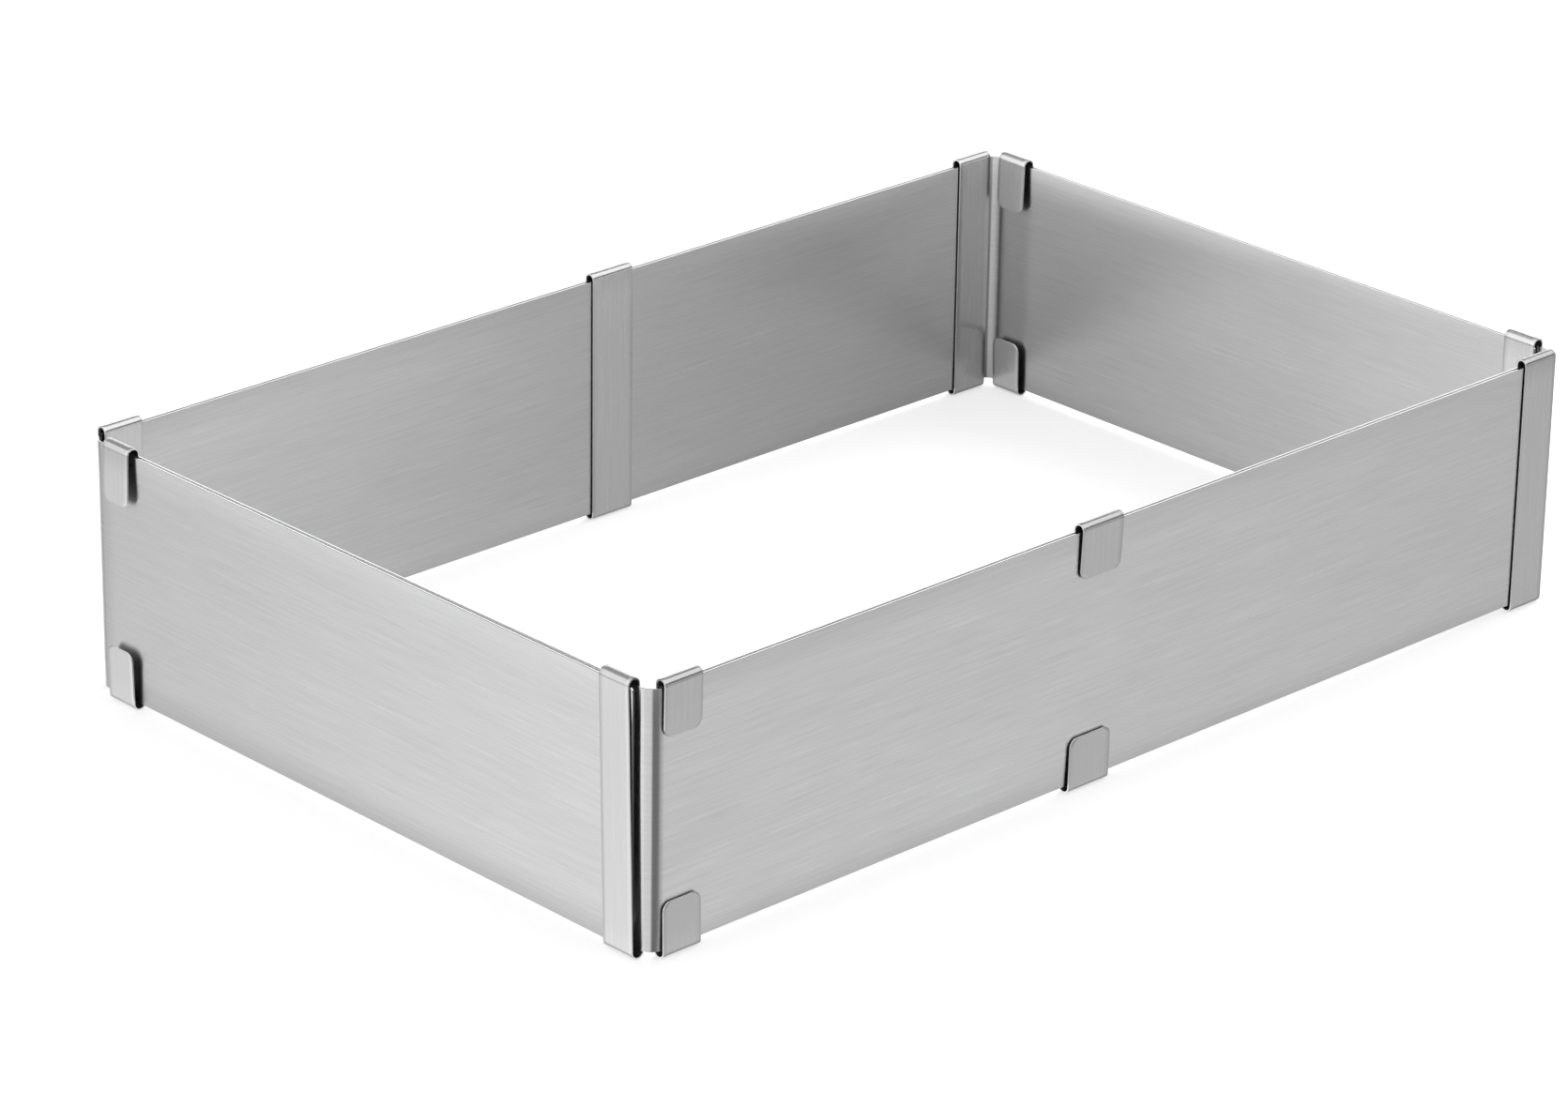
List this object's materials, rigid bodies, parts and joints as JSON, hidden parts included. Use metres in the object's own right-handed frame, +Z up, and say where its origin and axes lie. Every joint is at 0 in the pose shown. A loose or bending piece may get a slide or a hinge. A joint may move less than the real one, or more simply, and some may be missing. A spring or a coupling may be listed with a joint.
{
  "type": "adjustable cake frame",
  "caption": "Bottomless rectangular baking frame of overlapping L-shaped steel plates held by folded clips, which slides wider and longer.",
  "frame": {"origin": "centre of the frame on the surface that it stands on", "axes": "+X along the long walls, towards the plate that slides out lengthwise; +Y along the short walls, away from the viewer; +Z up"},
  "size_m": [0.243, 0.1564, 0.053],
  "materials": {
    "plate_steel": "brushed stainless sheet, grain along the walls",
    "clip_steel": "brushed stainless strip, grain up the walls"
  },
  "bodies": {
    "front_left": {"front_left_plate": "plate_steel", "front_wall_right_clip": "clip_steel", "left_wall_back_clip": "clip_steel"},
    "front_right": {"front_right_plate": "plate_steel", "front_wall_left_clip": "clip_steel", "right_wall_back_clip": "clip_steel"},
    "back_right": {"back_right_plate": "plate_steel", "back_wall_left_clip": "clip_steel", "right_wall_front_clip": "clip_steel"},
    "back_left": {"back_left_plate": "plate_steel", "back_wall_right_clip": "clip_steel", "left_wall_front_clip": "clip_steel"},
    "front_middle_clip": {"front_wall_middle_clip": "clip_steel"},
    "back_middle_clip": {"back_wall_middle_clip": "clip_steel"}
  },
  "joints": [
    {"name": "length_slide", "type": "slide", "parent": "front_left", "child": "front_right", "axis": [1, 0, 0], "range_m": [0, 0.195]},
    {"name": "width_slide", "type": "slide", "parent": "front_left", "child": "back_left", "axis": [0, 1, 0], "range_m": [0, 0.12]},
    {"name": "right_width_slide", "type": "slide", "parent": "front_right", "child": "back_right", "axis": [0, 1, 0], "range_m": [0, 0.12]},
    {"name": "front_middle_clip_slide", "type": "slide", "parent": "front_left", "child": "front_middle_clip", "axis": [1, 0, 0], "range_m": [0, 0.1095]},
    {"name": "back_middle_clip_slide", "type": "slide", "parent": "back_left", "child": "back_middle_clip", "axis": [1, 0, 0], "range_m": [0, 0.0857]}
  ],
  "couplings": [
    {"joint": "right_width_slide", "follows": "width_slide", "ratio": 1},
    {"joint": "front_middle_clip_slide", "follows": "length_slide", "ratio": 0.561},
    {"joint": "back_middle_clip_slide", "follows": "length_slide", "ratio": 0.439}
  ]
}
